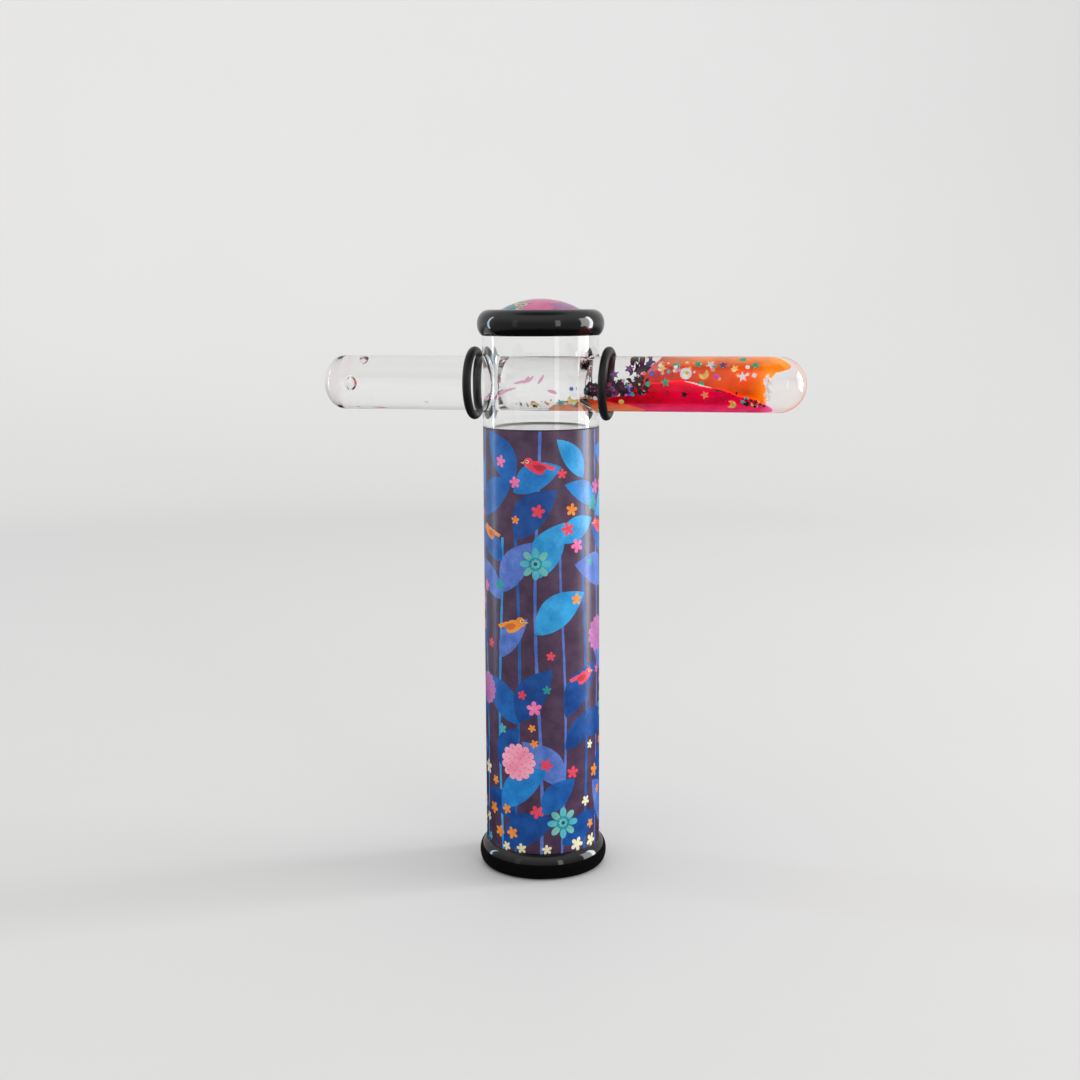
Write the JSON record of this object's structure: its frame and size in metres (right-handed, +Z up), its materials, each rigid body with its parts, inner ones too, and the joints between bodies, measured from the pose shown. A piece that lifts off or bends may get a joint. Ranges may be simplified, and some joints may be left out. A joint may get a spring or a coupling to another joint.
{
  "type": "wand kaleidoscope",
  "caption": "Tube kaleidoscope that stands on its eyepiece, with a floral printed barrel and a clear liquid glitter wand that slides and turns through a clear holder under a domed cap.",
  "frame": {"origin": "middle of the whole object's footprint, on the plane that the eyepiece cap stands on; the barrel's own axis is 5.4 mm towards -X of it, because the wand reaches further out on +X", "axes": "+Z up the barrel from the eyepiece to the domed cap; +X along the wand towards its closed, liquid-filled end; -Y is the front"},
  "size_m": [0.1436, 0.0384, 0.1704],
  "materials": {
    "black_plastic": "polished, moulded",
    "clear_plastic": "clear, polished",
    "clear_resin": "clear, domed",
    "wand_plastic": "clear, polished",
    "printed_picture": "printed paper",
    "printed_paper": "printed, satin varnish",
    "grey_card": "uncoated card",
    "black_foam": "matt foam",
    "mirror_strip": "mirror",
    "black_rubber": "smooth, slightly glossy",
    "orange_liquid": "clear orange liquid",
    "magenta_liquid": "clear magenta liquid",
    "foil_black": "metallic foil",
    "foil_blue": "metallic foil",
    "foil_gold": "metallic foil",
    "foil_green": "metallic foil",
    "foil_navy": "metallic foil",
    "foil_orange": "metallic foil",
    "foil_pink": "metallic foil",
    "foil_purple": "metallic foil",
    "foil_silver": "metallic foil",
    "foil_teal": "metallic foil",
    "foil_white": "metallic foil",
    "foil_yellow": "metallic foil"
  },
  "bodies": {
    "barrel": {"eyepiece_cap": "black_plastic", "eyepiece_window": "clear_plastic", "body_tube": "grey_card", "printed_wrap": "printed_paper", "mirror_1": "mirror_strip", "mirror_2": "mirror_strip", "mirror_3": "mirror_strip", "foam_collar_lower": "black_foam", "foam_collar_upper": "black_foam", "object_window": "clear_plastic", "wand_holder": "clear_plastic", "end_cap": "black_plastic", "picture_disc": "printed_picture", "dome_disc": "clear_resin"},
    "stop_rings": {"o_ring_left": "black_rubber", "o_ring_right": "black_rubber"},
    "wand": {"wand_tube": "wand_plastic", "wand_plug": "wand_plastic", "orange_liquid": "orange_liquid", "orange_liquid_low": "orange_liquid", "magenta_liquid": "magenta_liquid", "glitter_dot_blue_1": "foil_blue", "glitter_dot_blue_2": "foil_blue", "glitter_dot_gold_1": "foil_gold", "glitter_dot_green_1": "foil_green", "glitter_dot_green_2": "foil_green", "glitter_dot_pink_1": "foil_pink", "glitter_dot_silver_1": "foil_silver", "glitter_moon_blue_1": "foil_blue", "glitter_moon_gold_1": "foil_gold", "glitter_moon_gold_2": "foil_gold", "glitter_moon_navy_1": "foil_navy", "glitter_moon_purple_1": "foil_purple", "glitter_moon_yellow_1": "foil_yellow", "glitter_star_black_1": "foil_black", "glitter_star_gold_1": "foil_gold", "glitter_star_gold_2": "foil_gold", "glitter_star_green_1": "foil_green", "glitter_star_green_2": "foil_green", "glitter_star_green_3": "foil_green", "glitter_star_green_4": "foil_green", "glitter_star_orange_1": "foil_orange", "glitter_star_purple_1": "foil_purple", "glitter_star_purple_2": "foil_purple", "glitter_star_purple_3": "foil_purple", "glitter_star_silver_1": "foil_silver", "glitter_star_teal_1": "foil_teal", "glitter_star_white_1": "foil_white"}
  },
  "joints": [
    {"name": "wand_slide", "type": "slide", "parent": "barrel", "child": "stop_rings", "axis": [1, 0, 0], "range_m": [-0.0011, 0.0016]},
    {"name": "wand_spin", "type": "hinge", "parent": "stop_rings", "child": "wand", "pos_m": [-0.0054, 0, 0.1458], "axis": [1, 0, 0], "continuous": true}
  ]
}
